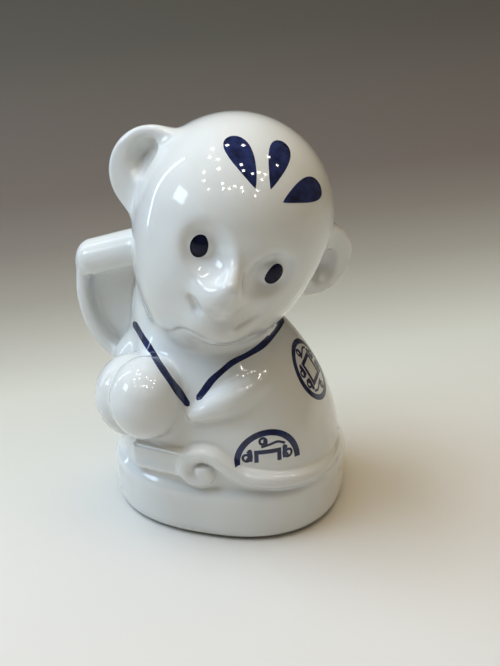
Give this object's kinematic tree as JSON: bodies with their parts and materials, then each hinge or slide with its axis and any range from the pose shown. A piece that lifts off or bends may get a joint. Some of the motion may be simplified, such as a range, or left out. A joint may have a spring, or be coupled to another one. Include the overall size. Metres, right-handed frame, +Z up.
{
  "type": "monkey figurine",
  "caption": "Seated porcelain monkey on an oval plinth, one arm raised behind its tilted head, holding a peach, with a curled tail and cobalt blue brush marks.",
  "frame": {"origin": "middle of the base's oval underside, on the surface it stands on", "axes": "+Z up, front of the base towards -Y, the monkey's left hand towards +X"},
  "size_m": [0.0707, 0.0565, 0.1006],
  "materials": {
    "white_porcelain": "gloss",
    "cobalt_blue": "gloss"
  },
  "bodies": {
    "root": {"base": "white_porcelain", "robe": "white_porcelain", "head": "white_porcelain", "right_ear": "white_porcelain", "left_ear": "white_porcelain", "raised_arm": "white_porcelain", "left_arm": "white_porcelain", "peach": "white_porcelain", "peach_leaf": "white_porcelain", "tail": "white_porcelain", "right_pupil": "cobalt_blue", "left_pupil": "cobalt_blue", "forehead_petals": "cobalt_blue", "right_collar_line": "cobalt_blue", "left_collar_line": "cobalt_blue", "shoulder_coin": "cobalt_blue", "hem_coin": "cobalt_blue"}
  },
  "joints": []
}
